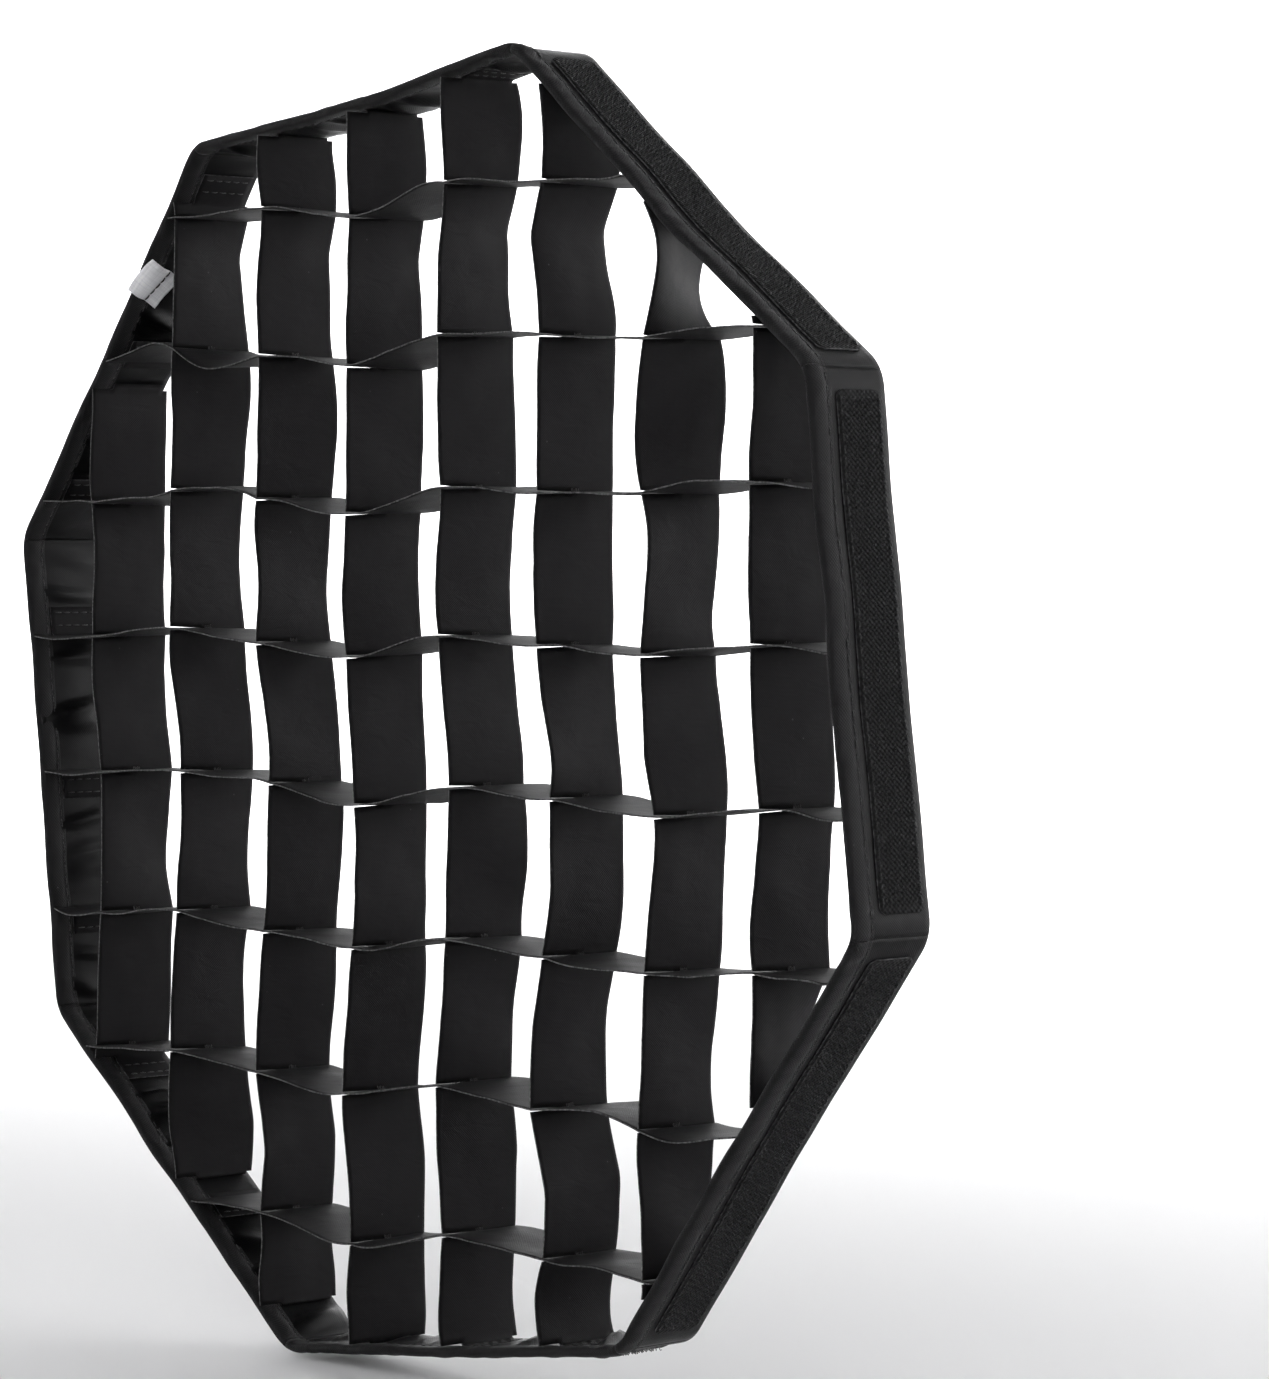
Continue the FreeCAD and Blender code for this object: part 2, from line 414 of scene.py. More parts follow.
def grid_sheet(name, columns, places, kept, thickness, materials):
    """A sheet of cloth from columns of points. kept(c, r) says whether there is a face at a place."""
    rows = len(columns[0])
    vertices = [p for column in columns for p in column]
    flat = [p for column in places for p in column]
    faces = [
        (c * rows + r, (c + 1) * rows + r, (c + 1) * rows + r + 1, c * rows + r + 1)
        for c in range(len(columns) - 1)
        for r in range(rows - 1)
        if kept(c, r)
    ]
    used = sorted({v for f in faces for v in f})
    number = {v: n for n, v in enumerate(used)}
    obj = new_object(
        name,
        [vertices[v] for v in used],
        [tuple(number[v] for v in f) for f in faces],
        materials,
        [flat[v] for v in used],
    )
    solid = obj.modifiers.new("thickness", "SOLIDIFY")
    solid.thickness = thickness
    solid.offset = 0.0
    solid.use_even_offset = True
    solid.thickness_clamp = 0.8
    solid.material_offset_rim = len(materials) - 1
    return settle(obj)


def settle(obj):
    """Turns an object's modifiers into its mesh."""
    graph = bpy.context.evaluated_depsgraph_get()
    made = bpy.data.meshes.new_from_object(
        obj.evaluated_get(graph), preserve_all_data_layers=True, depsgraph=graph
    )
    obj.modifiers.clear()
    obj.data = made
    return obj


def tube(path, radius, sides=5, taper=0.0):
    """Vertices and faces of a thread along a short path, with closed and tapered ends."""
    vertices, faces = [], []
    last = len(path) - 1
    for n, point in enumerate(path):
        way = (path[min(n + 1, last)] - path[max(n - 1, 0)]).normalized()
        aside = way.cross(Vector((0.31, 0.52, 0.79))).normalized()
        up = way.cross(aside)
        share = 1.0 - taper * abs(2 * n / last - 1) ** 2
        for k in range(sides):
            a = 2 * math.pi * k / sides
            vertices.append(point + (aside * math.cos(a) + up * math.sin(a)) * radius * share)
    for n in range(last):
        for k in range(sides):
            a, b = n * sides + k, n * sides + (k + 1) % sides
            faces.append((a, a + sides, b + sides, b))
    faces.append(tuple(range(sides)))
    faces.append(tuple(last * sides + k for k in reversed(range(sides))))
    return vertices, faces


def joined(name, parts, material):
    """One object from many (vertices, faces) parts."""
    vertices, faces = [], []
    for more, mesh_faces in parts:
        start = len(vertices)
        vertices.extend(more)
        faces.extend(tuple(v + start for v in f) for f in mesh_faces)
    return new_object(name, vertices, faces, [material])


def stitch(start, end, lift, radius):
    """A thread that comes up out of the cloth, runs along it and goes down again."""
    path = []
    for n in range(5):
        u = n / 4
        path.append(start.lerp(end, u) + lift * (math.sin(math.pi * u) ** 0.6 - 0.35))
    return tube(path, radius, taper=0.35)


def stitch_line(place, total, length, gap, lift_of, radius):
    """Stitches along a line given as a function of distance: place(d), for d from 0 to total."""
    made = []
    count = max(1, int(total / (length + gap)))
    step = total / count
    for n in range(count):
        a, b = n * step + gap / 2, (n + 1) * step - gap / 2
        made.append(stitch(place(a), place(b), lift_of((a + b) / 2), radius))
    return made


def soft_piece(obj, slot, *nodes, body="grid"):
    """A cloth piece of the grid: it takes a node's place."""
    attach(obj, body)
    if nodes:
        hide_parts(*nodes)
    if body == "grid":
        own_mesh(obj)
    return obj


# ---------------------------------------------------------------- the strips


def room(x, z):
    """How far a place is from the band."""
    return BAND_IN - max(
        x * math.cos(side_angle(s)) + z * math.sin(side_angle(s)) for s in range(1, SIDES + 1)
    )


def inside(x, z):
    """Whether a crossing lies within the border, clear of the strips' sewn ends."""
    return room(x, z) > 1.5 * MM


def unevenness(column, row):
    """How one crossing has settled: its shifts at the front and rear, and the front edge's recess."""
    rng = random.Random(1000 * column + row)
    x_front = ROW_SHIFT[row] + rng.gauss(0, 0.6 * MM)
    z_front = COLUMN_RISE[column] + rng.gauss(0, 0.6 * MM)
    x_rear = 0.85 * x_front + rng.gauss(0, 0.4 * MM)
    z_rear = 0.95 * z_front + rng.gauss(0, 0.35 * MM)
    return (x_front, z_front), (x_rear, z_rear), rng.uniform(0, 0.8 * MM)


def crossing(column, row, depth):
    """Where two strips cross, at a share of the depth from the front: (x, z)."""
    front, rear, _ = unevenness(column, row)
    free = smooth(room(PLACES[column], PLACES[row]) / CALM_AT_BAND)
    x = PLACES[column] + free * (front[0] + (rear[0] - front[0]) * depth)
    z = PLACES[row] + free * (front[1] + (rear[1] - front[1]) * depth)
    return x, z


def strip_hits(upright, index):
    """Where a strip's line meets the band: (place along the strip, side, place along the side)."""
    hits = []
    for sign in (-1, 1):
        way = (0.0, sign) if upright else (sign, 0.0)
        base = (PLACES[index], 0.0) if upright else (0.0, PLACES[index])
        found = []  # (position, side, along the side, the strip's slope to the side)
        for side in range(1, SIDES + 1):
            nx, nz = math.cos(side_angle(side)), math.sin(side_angle(side))
            slope = way[0] * nx + way[1] * nz
            if slope > 1e-6:
                reach = (BAND_IN - base[0] * nx - base[1] * nz) / slope
                x, z = base[0] + way[0] * reach, base[1] + way[1] * reach
                found.append((reach, side, -x * nz + z * nx, slope))
        reach, side, along, slope = min(found)
        hits.append((sign * (reach - sag(side, along) / slope), side, along))
    return hits


HITS = {
    (upright, index): strip_hits(upright, index)
    for upright in (True, False)
    for index in range(STRIP_COUNT)
}


def tab_reach(key, end):
    """The length of a strip end's tab, with its sign along the side, away from the nearest neighbour."""
    _, side, along = HITS[key][end]
    others = [
        a
        for k, pair in HITS.items()
        for e, (_, s, a) in enumerate(pair)
        if s == side and (k, e) != (key, end)
    ]
    corner = half_side(BAND_IN)
    above = min([a - along for a in others if a > along] or [2 * (corner - along)])
    below = min([along - a for a in others if a < along] or [2 * (corner + along)])
    length = min(TAB_LENGTH, max(above, below) / 2 - TAB_CLEARANCE)
    return length if above >= below else -length


def depth_rows():
    """Shares of the depth, with rows at the slots' middle and at the tabs' edges."""
    stops = (0.0, TAB_SPAN[0], 0.5, TAB_SPAN[1], 1.0)
    counts = (5, 4, 7, 2)
    rows = [0.0]
    for low, high, count in zip(stops, stops[1:], counts):
        rows.extend(low + (high - low) * (n + 1) / count for n in range(count))
    return rows


ROWS = depth_rows()


def cell_number(stops, cell):
    """A cell's number along its strip, counted from the lowest or leftmost possible cell."""
    below, above = stops[cell][1], stops[cell + 1][1]
    return above if below is None else below + 1


def cell_shape(upright, index, cell, number):
    """How a wall between two crossings bulges: at its front and rear, in an S, askew and creased."""
    rng = random.Random((7 if upright else 3) * 10007 + index * 97 + cell * 13)
    if upright:
        front, rear = UPRIGHT_BOWS[index][STRIP_COUNT - number]
    else:
        front = LEVEL_BOWS[STRIP_COUNT - 1 - index][number]
        rear = 0.8 * front
    return {
        "front": (front + rng.gauss(0, 0.25)) * MM,
        "rear": (rear + rng.gauss(0, 0.25)) * MM,
        "s_front": rng.gauss(0, 0.35 if upright else 0.3) * MM,
        "s_rear": rng.gauss(0, 0.35 if upright else 0.2) * MM,
        "skew": rng.uniform(-0.16, 0.16),
        "crease": rng.uniform(0.35, 0.65) if rng.random() < 0.3 else None,
        "crease_height": rng.choice((-1, 1)) * rng.uniform(0.2, 0.5) * MM,
        "crease_slope": rng.uniform(-0.25, 0.25),
    }


def slot_half_width(depth):
    """Half a slot's width at a share of the depth from its open end: the cut gapes at its mouth."""
    return SLOT_WIDTH * (0.1 + 0.27 * (1 - clamp(depth / 0.5)) ** 1.3)


def roof(u, ridge):
    """A fold: rises in a straight line to 1 at the ridge and falls again, rounded at the top."""
    side = u / ridge if u < ridge else (1 - u) / (1 - ridge)
    return clamp(side) - 0.06 * math.exp(-(((u - ridge) / 0.02) ** 2))


def bulge(shape, u, depth, fold):
    """The wall's displacement across its plane, at a share u of its length."""
    v = clamp(u + shape["skew"] * math.sin(math.pi * u) * (1 - 2 * depth))
    arch, wave = math.sin(math.pi * v), math.sin(2 * math.pi * v)
    size = shape["front"] * (1 - depth) ** 1.3 + shape["rear"] * depth**1.3
    wavy = shape["s_front"] * (1 - depth) + shape["s_rear"] * depth
    if fold:
        arch = roof(u, clamp(fold + 0.08 * (depth - 0.5), 0.1, 0.9))
    out = size * arch + wavy * wave
    if shape["crease"]:
        ridge = clamp(shape["crease"] + shape["crease_slope"] * (depth - 0.5), 0.15, 0.85)
        out += shape["crease_height"] * roof(u, ridge) * (0.5 + 0.5 * depth)
    return out


def fold_in_cell(upright, index, low, high):
    """The share of an upright wall's length at which a packing fold crosses it, or None."""
    for line in FOLD_LINES:
        if upright and low < line < high and 1 <= index <= 5:
            return (line - low) / (high - low)
    return None


def hermite(a, b, slope_a, slope_b, u):
    return (
        a * (2 * u**3 - 3 * u**2 + 1)
        + slope_a * (u**3 - 2 * u**2 + u)
        + b * (3 * u**2 - 2 * u**3)
        + slope_b * (u**3 - u**2)
    )


def strip_stops(upright, index):
    """The strip's ends and crossings in order: (nominal place along it, crossing's index or None)."""
    hits = HITS[upright, index]
    inner = [
        (PLACES[n], n)
        for n in range(STRIP_COUNT)
        if inside(*((PLACES[index], PLACES[n]) if upright else (PLACES[n], PLACES[index])))
    ]
    return [(hits[0][0], None), *inner, (hits[1][0], None)]


def stop_place(upright, index, stop, depth):
    """Where a stop really is at a depth: (along the strip, across it, recess of the front edge)."""
    nominal, other = stop
    if other is None:
        return nominal, PLACES[index], 0.0
    cell = (index, other) if upright else (other, index)
    x, z = crossing(*cell, depth)
    recess = unevenness(*cell)[2]
    return (z, x, recess) if upright else (x, z, recess)


def strip(upright, index):
    """One strip with its slots, waves, creases and the tabs at its ends."""
    stops = strip_stops(upright, index)
    cells = len(stops) - 1
    ends = HITS[upright, index]
    columns, places, slots, tabs = [], [], set(), set()

    def surface(cell, u, depth):
        low, high = (stop_place(upright, index, stops[k], depth) for k in (cell, cell + 1))
        before = stop_place(upright, index, stops[max(cell - 1, 0)], depth)[1]
        after = stop_place(upright, index, stops[min(cell + 2, cells)], depth)[1]
        along = low[0] + (high[0] - low[0]) * u
        across = hermite(
            low[1], high[1], 0.35 * (high[1] - before), 0.35 * (after - low[1]), u
        )
        fold = fold_in_cell(upright, index, stops[cell][0], stops[cell + 1][0])
        across += bulge(shapes[cell], u, depth, fold) * calms[cell]
        seed = (31.0 if upright else 57.0) + 3.7 * index
        edge = math.sin(math.pi * u) ** 0.5
        across += 0.35 * MM * edge * ripple(along / (13 * MM), depth * 2.3, seed)
        across += 0.12 * MM * edge * ripple(along / (4.5 * MM), depth * 5.0, seed + 9)
        recess = low[2] + (high[2] - low[2]) * u
        recess += 0.5 * MM * ripple(along / (16 * MM), 0.0, seed + 21)
        y = FRONT * (1 - depth) + recess * (1 - depth) ** 2
        y -= 0.4 * MM * ripple(along / (18 * MM), 5.0, seed + 40) * depth**2
        return Vector((across, y, along)) if upright else Vector((along, y, across))

    shapes = [cell_shape(upright, index, n, cell_number(stops, n)) for n in range(cells)]
    calms = [smooth((high[0] - low[0]) / SHORT_CELL) for low, high in zip(stops, stops[1:])]

    def tab_column(end, bend, reach):
        """A column on the tab: bend is 0 at the strip and 1 on the band, reach is along the side."""
        _, side, along = ends[end]
        out = BAND_IN - 0.3 * MM - (1 - bend) * 0.8 * MM
        return [side_point(side, out, along + reach, FRONT * (1 - depth)) for depth in ROWS]

    def add_column(points, flat):
        columns.append(points)
        places.append([(flat, depth * DEPTH, 0.013 * index) for depth in ROWS])

    for end in (0, 1):
        length = tab_reach((upright, index), end)
        ladder = [(1.0, length), (1.0, 0.66 * length), (1.0, 0.33 * length)]
        ladder += [(0.95, math.copysign(1.0 * MM, length)), (0.6, math.copysign(0.3 * MM, length))]
        if end == 1:
            for cell in range(cells):
                low, high = stops[cell][0], stops[cell + 1][0]
                size = high - low
                count = max(4, round(size / COLUMN_STEP))
                for n in range(count + 1):
                    points = []
                    for depth in ROWS:
                        gap = slot_half_width(depth if upright else 1 - depth)
                        first = (END_GAP if cell == 0 else gap) / size
                        last = 1 - (END_GAP if cell == cells - 1 else gap) / size
                        points.append(surface(cell, first + (last - first) * n / count, depth))
                    add_column(points, low + n / count * size)
                if cell < cells - 1:
                    slots.add(len(columns) - 1)
            ladder.reverse()
        for n, (bend, reach) in enumerate(ladder):
            tabs.add(len(columns) - (1 if end == 1 else 0))
            add_column(tab_column(end, bend, reach), ends[end][0] + reach)

    def kept(c, r):
        middle = (ROWS[r] + ROWS[r + 1]) / 2
        if c in slots:
            return middle > 0.5 if upright else middle < 0.5
        if c in tabs:
            return TAB_SPAN[0] < middle < TAB_SPAN[1]
        return True

    name = f"{'upright' if upright else 'level'}_cloth_{index + 1 if upright else STRIP_COUNT - index}"
    obj = grid_sheet(name, columns, places, kept, CLOTH, [STRIP_CLOTH, CUT_EDGE_HIGHLIGHT])
    node = name.replace("cloth", "strip")
    soft_piece(obj, "black_cloth", node)
    tab_lengths = sum(abs(tab_reach((upright, index), end)) for end in (0, 1))
    length = ends[1][0] - ends[0][0] + tab_lengths
    return obj


# ---------------------------------------------------------------- border, hem and tape


def pleats(side):
    """The soft folds in a side's inner cloth: (place along it, width, height, slant) of each."""
    rng = random.Random(70 + side)
    made = []
    for n in range(13):
        place = (2 * (n + rng.uniform(0.1, 0.9)) / 13 - 1) * half_side(BAND_IN)
        width = rng.uniform(1.3, 3.4) * MM
        height = rng.uniform(0.9, 3.4) * MM
        made.append((place, width, height, rng.uniform(-0.45, 0.45)))
    return made


def tab_clearance(side, along):
    """0 over a strip's sewn tab and 1 well away from every tab."""
    free = 1.0
    for key in HITS:
        for end in (0, 1):
            _, tab_side, place = HITS[key][end]
            if tab_side == side:
                reach = tab_reach(key, end)
                low, high = sorted((place - math.copysign(1.5 * MM, reach), place + reach))
                gap = max(low - along, along - high, 0.0)
                free = min(free, smooth(gap / (5.0 * MM)))
    return free


def pucker(side, along, y, folds):
    """How far the band's inner cloth stands off inwards, between the strips' ends and the seam."""
    share = clamp((y - FRONT - BINDING_WIDTH + 1.0 * MM) / (DEPTH - BINDING_WIDTH))
    held = math.sin(math.pi * clamp(share, 0.02, 0.98)) ** 0.6
    ends = 1 - smooth(abs(along) / half_side(BAND_IN) * 8 - 7)
    wave = ripple(along / (9 * MM), share * 1.1, 11.0 * side)
    fine = ripple(along / (3.6 * MM), share * 2.0, 17.0 * side)
    lift = (0.35 + 0.5 * wave + 0.2 * fine) * MM
    for place, width, height, slant in folds:
        lift += height * math.exp(-(((along - place - slant * (y + DEPTH / 2)) / width) ** 2))
    return ends * held * max(0.0, lift)


def border(side):
    """The folded cloth of one side: an outer and an inner layer with the fold at the rear."""
    half = 0.25 * MM
    columns, places = [], []
    steps = 130
    folds = pleats(side)
    profile = [(FRONT + 1.0 * MM + n * (DEPTH - 1.6 * MM) / 14, 1) for n in range(15)]
    profile += [(-0.32 * MM, 0.6), (-0.25 * MM, 0.0), (-0.32 * MM, -0.6)]
    profile += [(y, -1) for y, _ in reversed(profile[:15])]
    gap = BAND_THICKNESS / 2 - half
    for n in range(steps + 1):
        share = 2 * n / steps - 1
        points, flat = [], []
        walked = 0.0
        free = tab_clearance(side, share * half_side(BAND_IN))
        for k, (y, layer) in enumerate(profile):
            out = (BAND_OUT + BAND_IN) / 2 + layer * gap
            along = share * half_side(out)
            if layer < -0.9:
                out -= free * pucker(side, along, y, folds)
            drift = 0.35 * MM * ripple(along / (20 * MM), 3.0, 7.0 * side) * (1 - share**4)
            points.append(side_point(side, out, along, y + drift * smooth(1 + y / DEPTH)))
            walked += abs(y - profile[max(k - 1, 0)][0]) + 0.1 * MM
            flat.append((along, walked, 0.02 * side))
        columns.append(points)
        places.append(flat)
    name = f"border_cloth_{side}"
    obj = grid_sheet(name, columns, places, lambda c, r: True, 0.46 * MM, [BAND_CLOTH, CUT_EDGE_HIGHLIGHT])
    soft_piece(obj, "black_cloth", f"border_panel_{side}")
    return obj


def hem(side):
    """The binding folded over the front edge."""
    wall = 0.42 * MM
    middle = (BINDING_IN + BINDING_OUT) / 2
    arm = (BINDING_OUT - BINDING_IN - wall) / 2
    rear = FRONT + BINDING_WIDTH
    nose = FRONT + arm + wall / 2
    legs = [rear + (nose - rear) * n / 8 for n in range(9)]
    profile = [(y, arm) for y in legs]
    round_nose = [k * math.pi / 7 for k in range(1, 7)]
    profile += [(nose - arm * math.sin(a), arm * math.cos(a)) for a in round_nose]
    profile += [(y, -arm) for y in reversed(legs)]
    steps = 110
    columns, places = [], []
    for n in range(steps + 1):
        share = 2 * n / steps - 1
        points, flat = [], []
        for k, (y, off) in enumerate(profile):
            out = middle + off
            along = share * half_side(out)
            calm = 1 - share**6
            roll = ripple(along / (22 * MM), 2.0, 3.0 * side)
            wrinkle = ripple(along / (4.6 * MM), 0.6 * off / MM, 9.0 * side)
            seam = math.exp(-(((y - FRONT - BINDING_SEAM) / (0.7 * MM)) ** 2))
            before_seam = y < FRONT + BINDING_SEAM
            full = math.sin(math.pi * clamp((y - FRONT) / BINDING_SEAM)) if before_seam else 0.0
            gather = 1 + 2.2 * math.exp(-(((1 - abs(share) - 0.08) / 0.045) ** 2))
            push = (0.45 * full - 0.2 * seam + 0.36 * wrinkle * full * gather) * MM
            out += push * (1 if off > 0 else -1)
            y_here = y + calm * (0.8 * roll + 0.15 * wrinkle) * MM
            points.append(side_point(side, out, along, y_here))
            flat.append((along, k * 0.8 * MM, 0.02 * side))
        columns.append(points)
        places.append(flat)
    obj = grid_sheet(
        f"hem_cloth_{side}", columns, places, lambda c, r: True, wall, [HEM_CLOTH, CUT_EDGE_HIGHLIGHT]
    )
    soft_piece(obj, "black_binding", f"hem_binding_{side}", body="front_hem")
    return obj


def hem_stitches(side):
    """The seam through the binding, seen on both of its faces."""
    parts = []
    for out, lift in ((BINDING_IN - 0.02 * MM, -1), (BINDING_OUT + 0.02 * MM, 1)):
        half = half_side(out) - 1.5 * MM
        normal = side_point(side, 1.0, 0.0, 0.0)

        def place(d, out=out, half=half, lift=lift):
            along = d - half
            wander = 0.45 * MM * ripple(along / (25 * MM), 4.0, 2.0 * side)
            return side_point(side, out - lift * 0.1 * MM, along, FRONT + BINDING_SEAM + wander)

        def rise(d, lift=lift):
            return normal * lift * 0.28 * MM

        parts += stitch_line(place, 2 * half, 2.7 * MM, 0.9 * MM, rise, 0.2 * MM)
    obj = joined(f"hem_stitches_{side}", parts, THREAD)
    return soft_piece(obj, "black_thread", body="front_hem")


def tape(side):
    """The hook tape's woven ground, with rounded corners and slightly waved edges."""
    half_length = half_side(BAND_OUT) - TAPE_END_GAP
    steps, across = 120, 14
    columns, places = [], []
    ground = BAND_OUT + 0.3 * MM
    for n in range(steps + 1):
        share = 2 * n / steps - 1
        along = share * half_length
        close = half_length - abs(along)
        cut = TAPE_CORNER - min(close, TAPE_CORNER)
        inset = TAPE_CORNER - math.sqrt(max(0.0, TAPE_CORNER**2 - cut**2))
        points, flat = [], []
        for k in range(across + 1):
            v = 2 * k / across - 1
            y = TAPE_MIDDLE + v * (TAPE_WIDTH / 2 - inset)
            y += 0.12 * MM * ripple(along / (11 * MM), v, 6.0 * side)
            edge = 0.12 * MM * (abs(v) > 0.9)
            lift = 0.12 * MM * ripple(along / (15 * MM), v, 8.0 * side)
            points.append(side_point(side, ground + lift - edge, along, y))
            flat.append((along, y, 0.03 * side))
        columns.append(points)
        places.append(flat)
    obj = grid_sheet(
        f"tape_cloth_{side}", columns, places, lambda c, r: True, 0.55 * MM, [TAPE_CLOTH, CUT_EDGE_HIGHLIGHT]
    )
    soft_piece(obj, "hook_tape", f"hook_tape_{side}")
    return obj


def tape_hooks(side):
    """Rows of small nylon hooks that stand out of the tape, each bent over at its tip."""
    rng = random.Random(400 + side)
    half_length = half_side(BAND_OUT) - TAPE_END_GAP - 2.6 * MM
    half_width = TAPE_WIDTH / 2 - 1.9 * MM
    parts = []
    rows = int(2 * half_width / HOOK_PITCH)
    count = int(2 * half_length / HOOK_PITCH)
    base = BAND_OUT + 0.55 * MM
    for r in range(rows + 1):
        for n in range(count + 1):
            along = -half_length + (n + 0.5 * (r % 2)) * 2 * half_length / count
            if along > half_length:
                continue
            y = TAPE_MIDDLE - half_width + r * 2 * half_width / rows
            lean = rng.uniform(-0.25, 0.25) * MM
            way = 0.45 * MM * rng.choice((-1, 1))
            height = rng.uniform(0.85, 1.1) * MM
            path = [
                side_point(side, base, along, y),
                side_point(side, base + 0.75 * height, along + 0.3 * lean, y + 0.2 * lean),
                side_point(side, base + height, along + 0.3 * lean + 0.55 * way, y + lean),
                side_point(side, base + 0.66 * height, along + 0.3 * lean + way, y + lean),
            ]
            parts.append(tube(path, 0.13 * MM, sides=3))
    obj = joined(f"tape_hooks_{side}", parts, HOOKS)
    return soft_piece(obj, "hook_tape")


def tape_stitches(side):
    """Two lines of stitches that hold the tape to the band."""
    half = half_side(BAND_OUT) - TAPE_END_GAP - 1.5 * MM
    normal = side_point(side, 1.0, 0.0, 0.0)
    parts = []
    for edge in (-1, 1):
        y = TAPE_MIDDLE + edge * (TAPE_WIDTH / 2 - 1.1 * MM)

        def place(d, y=y):
            along = d - half
            wander = 0.2 * MM * ripple(along / (9 * MM), y, side)
            return side_point(side, BAND_OUT + 0.62 * MM, along, y + wander)

        parts += stitch_line(
            place, 2 * half, 2.5 * MM, 0.7 * MM, lambda d: normal * 0.24 * MM, 0.19 * MM
        )
    obj = joined(f"tape_stitches_{side}", parts, THREAD)
    return soft_piece(obj, "black_thread")


def tab_stitches():
    """Two short lines of stitches through each strip's tab."""
    parts = []
    for key in HITS:
        for end in (0, 1):
            _, side, along = HITS[key][end]
            length = tab_reach(key, end)
            inward = side_point(side, -1.0, 0.0, 0.0)
            low = FRONT * (1 - TAB_SPAN[0]) + 1.2 * MM
            high = FRONT * (1 - TAB_SPAN[1]) - 1.2 * MM
            for share in (0.35, 0.8):

                def place(d, share=share):
                    return side_point(side, BAND_IN - 0.52 * MM, along + share * length, low + d)

                parts += stitch_line(
                    place, high - low, 2.4 * MM, 0.8 * MM, lambda d: inward * 0.25 * MM, 0.18 * MM
                )
    obj = joined("tab_stitches", parts, THREAD)
    return soft_piece(obj, "black_thread")


def crossing_tacks():
    """A few turns of thread that close the corner of each crossing."""
    parts = []
    for column in range(STRIP_COUNT):
        for row in range(STRIP_COUNT):
            if not inside(PLACES[column], PLACES[row]):
                continue
            rng = random.Random(50 * column + row)
            x, z = crossing(column, row, 0.5)
            for turn in range(5):
                y = FRONT * 0.5 + (turn - 2) * 0.55 * MM + rng.uniform(-0.1, 0.1) * MM
                reach = rng.uniform(0.8, 1.15) * MM
                path = []
                for n in range(6):
                    a = n / 5 * math.pi / 2
                    near = reach * (0.35 + 0.65 * (1 - math.sin(2 * a)))
                    path.append(
                        Vector((x + near * math.cos(a) + 0.1 * MM, y, z + near * math.sin(a) + 0.1 * MM))
                    )
                parts.append(tube(path, 0.12 * MM))
    obj = joined("tack_threads", parts, THREAD)
    return soft_piece(obj, "black_thread", "crossing_tacks")


# ---------------------------------------------------------------- the label


def label():
    """The white label: a sewn tail behind its seam, and a flap that curls over the hem's edge."""
    rear_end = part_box("care_label_tail")[1].y
    front_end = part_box("care_label_flap")[0].y
    hinge = next(j for j in frame["joints"] if j["name"] == "label_flap")["pos_m"]
    a = side_angle(LABEL_SIDE)
    middle = -hinge[0] * math.sin(a) + hinge[2] * math.cos(a)
    seam = hinge[1]
    out = BINDING_IN - 1.0 * MM
    steps, lanes = 28, 18
    start, end = rear_end - seam, front_end - seam

    def cloth(back, across, lift):
        along = middle + across * math.cos(LABEL_TURN) + back * math.sin(LABEL_TURN)
        y = seam + back * math.cos(LABEL_TURN) - across * math.sin(LABEL_TURN)
        return side_point(LABEL_SIDE, out - lift, along, y)

    columns, places = [], []
    for n in range(steps + 1):
        back = start + (end - start) * n / steps
        forward, rear = clamp(back / end), clamp(back / start)
        points, flat = [], []
        for k in range(lanes + 1):
            v = 2 * k / lanes - 1
            lift = 1.7 * rear**1.4 + 1.1 * math.sin(math.pi * forward) ** 1.2 - 0.9 * forward**4
            lift += 0.5 * ripple(back / (4 * MM), v * 1.3, 3.0) * (rear + forward)
            lift += 0.7 * forward * (v + 0.3) ** 2 + 0.5 * rear * max(0.0, v) ** 2
            points.append(cloth(back, v * LABEL_WIDTH / 2, lift * MM))
            flat.append((v * LABEL_WIDTH / 2, back, 0.0))
        columns.append(points)
        places.append(flat)
    obj = grid_sheet("care_label", columns, places, lambda c, r: True, 0.25 * MM, [SATIN])
    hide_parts("care_label_flap", "care_label_tail")
    side_point(LABEL_SIDE, out, middle, seam + 0.6 * MM)
    side_point(LABEL_SIDE, out, middle, seam - 2.4 * MM)
    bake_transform(obj)
    inward = side_point(LABEL_SIDE, -1.0, 0.0, 0.0)

    def place(d):
        wander = 0.4 * MM * ripple(d / (3 * MM), 2.0, 2.0)
        return cloth(0.3 * MM + wander, d - LABEL_WIDTH / 2, 0.2 * MM)

    parts = stitch_line(
        place, LABEL_WIDTH, 1.9 * MM, 0.3 * MM, lambda d: inward * 0.3 * MM, 0.24 * MM
    )
    threads = joined("label_stitches", parts, THREAD)
    return soft_piece(threads, "black_thread", body="front_hem")


# ---------------------------------------------------------------- stage, light and camera


def stage():
    """A round pale floor that curves up into a backdrop on every side."""
    floor = cad_box[0].z - 1.0 * MM
    reach, bend = 3.0, 1.6  # metres of flat floor, and the radius that the paper curves up at
    profile = [(0.02, floor), (0.4, floor), (1.2, floor), (reach, floor)]
    profile += [
        (reach + bend * math.sin(a), floor + bend * (1 - math.cos(a)))
        for a in (math.pi / 2 * n / 12 for n in range(1, 13))
    ]
    profile.append((reach + bend, floor + reach + bend))
    turns = 96
    vertices = [
        (out * math.cos(2 * math.pi * k / turns), out * math.sin(2 * math.pi * k / turns), height)
        for out, height in profile
        for k in range(turns)
    ]
    faces = [tuple(range(turns))]
    for n in range(len(profile) - 1):
        for k in range(turns):
            a, b = n * turns + k, n * turns + (k + 1) % turns
            faces.append((a, a + turns, b + turns, b))
    sweep = new_object("studio_sweep", vertices, faces, [paper_material()])


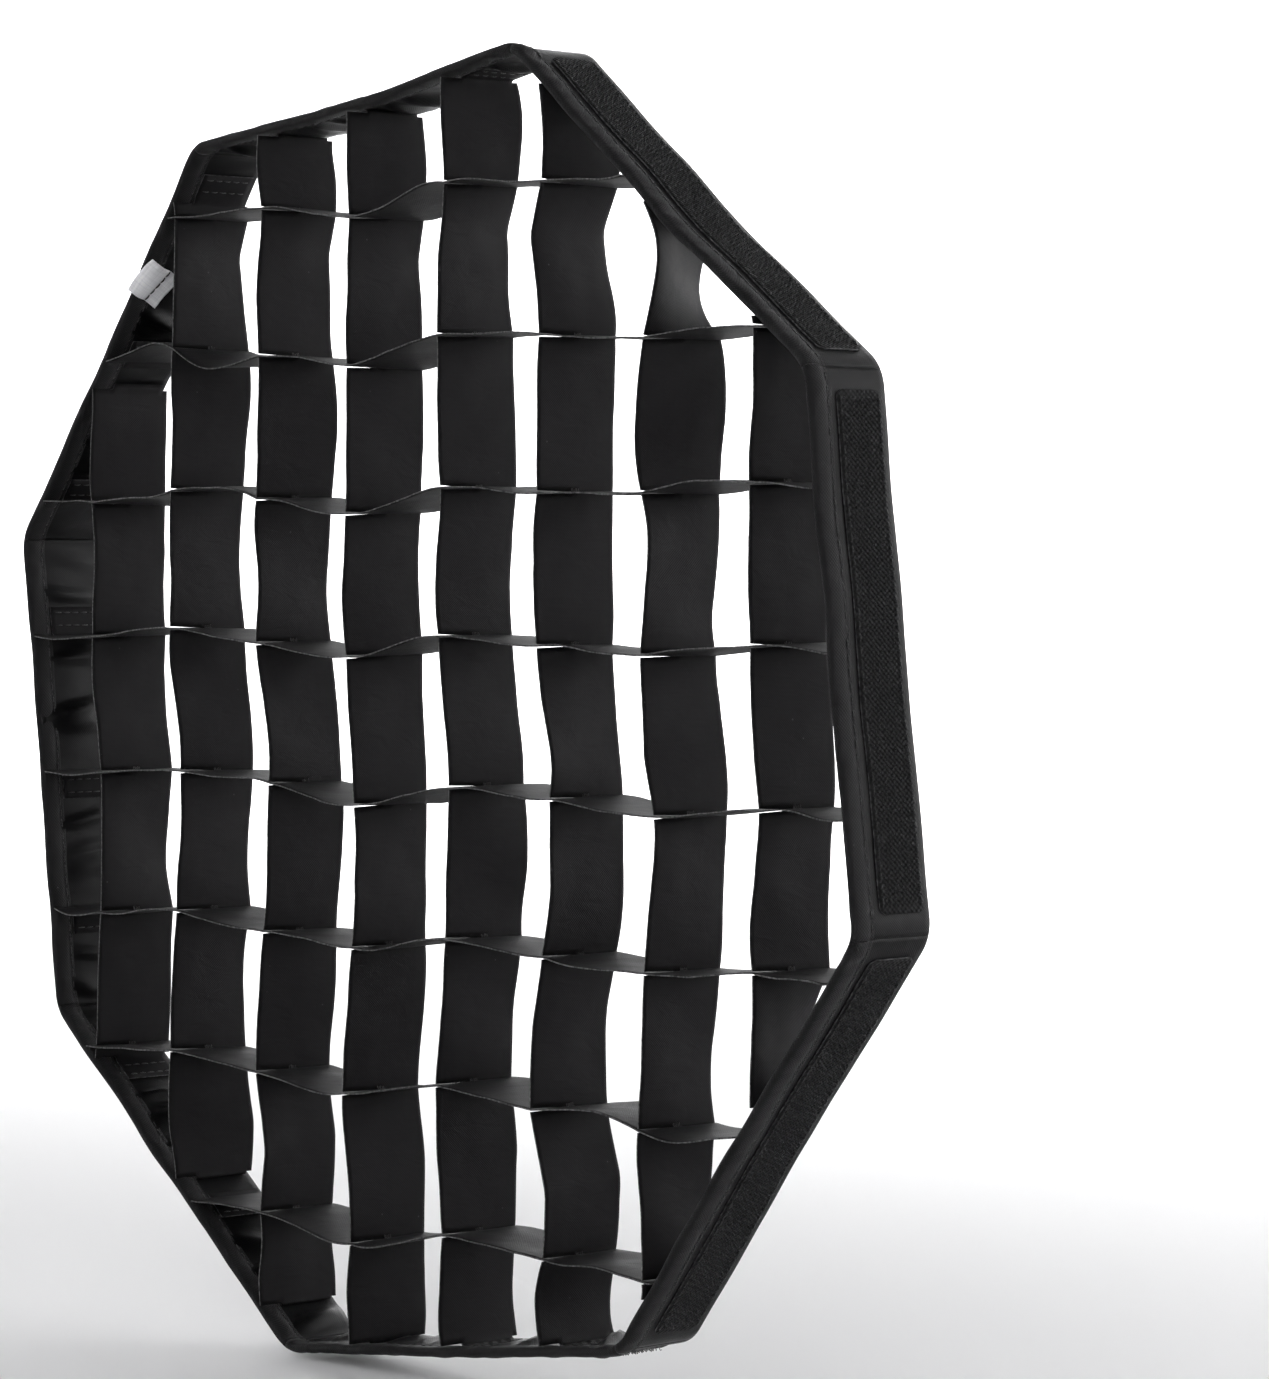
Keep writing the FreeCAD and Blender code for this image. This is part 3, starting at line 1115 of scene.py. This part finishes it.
def around(azimuth, distance, height):
    """A place by its direction from the front, its distance from the object's axis and its height."""
    a = math.radians(azimuth)
    return Vector((distance * math.sin(a), -distance * math.cos(a), height))


def area_light(name, place, target, size, power, spread=180):
    data = bpy.data.lights.new(name, "AREA")
    data.shape = "RECTANGLE"
    data.size, data.size_y = size
    data.energy = power
    data.spread = math.radians(spread)
    obj = bpy.data.objects.new(name, data)
    bpy.context.scene.collection.objects.link(obj)
    obj.location = place
    obj.rotation_mode = "QUATERNION"
    obj.rotation_quaternion = (target - place).to_track_quat("-Z", "Y")


CAMERA_AZIMUTH = 48.3
CAMERA_ELEVATION = 1.7
CAMERA_DISTANCE = 28.44 * PITCH
AIM = Vector((2.43 * PITCH, FRONT, 0.25 * PITCH))  # right of the grid, where the softbox would be
LENS = 117.6


def camera():
    """The camera, at the angle and distance that the fitted view gave."""
    data = bpy.data.cameras.new("camera")
    data.lens = LENS
    data.sensor_width = 36.0
    obj = bpy.data.objects.new("camera", data)
    bpy.context.scene.collection.objects.link(obj)
    a, e = math.radians(CAMERA_AZIMUTH), math.radians(CAMERA_ELEVATION)
    back = Vector((math.sin(a) * math.cos(e), -math.cos(a) * math.cos(e), math.sin(e)))
    obj.location = AIM + back * CAMERA_DISTANCE
    obj.rotation_mode = "QUATERNION"
    obj.rotation_quaternion = (-back).to_track_quat("-Z", "Y")
    data.clip_start, data.clip_end = 0.01, 50.0
    bpy.context.scene.camera = obj


def world():
    sky = bpy.data.worlds.new("studio")
    sky.use_nodes = True
    background = sky.node_tree.nodes["Background"]
    background.inputs["Color"].default_value = (1.0, 1.0, 1.0, 1)
    background.inputs["Strength"].default_value = 0.14
    bpy.context.scene.world = sky
    bpy.context.scene.view_settings.view_transform = "Standard"


camera()
world()
stage()
CENTRE = Vector((0.0, 0.0, 0.0))
area_light("side_key", around(128, 2.4, 0.1), CENTRE, (1.8, 1.8), 13)
area_light("front_fill", around(25, 2.2, 1.5), CENTRE, (1.6, 1.6), 13)
area_light("backdrop", around(180, 1.6, 2.6), around(180, 4.4, 0.0), (4.6, 1.2), 260, spread=150)
area_light("backdrop_side", around(232, 2.0, 2.5), around(232, 4.4, 0.0), (2.4, 1.2), 115, spread=150)

for number in range(STRIP_COUNT):
    strip(True, number)
    strip(False, number)
for number in range(1, SIDES + 1):
    border(number)
    hem(number)
    hem_stitches(number)
    tape(number)
    tape_hooks(number)
    tape_stitches(number)
tab_stitches()
crossing_tacks()
label()
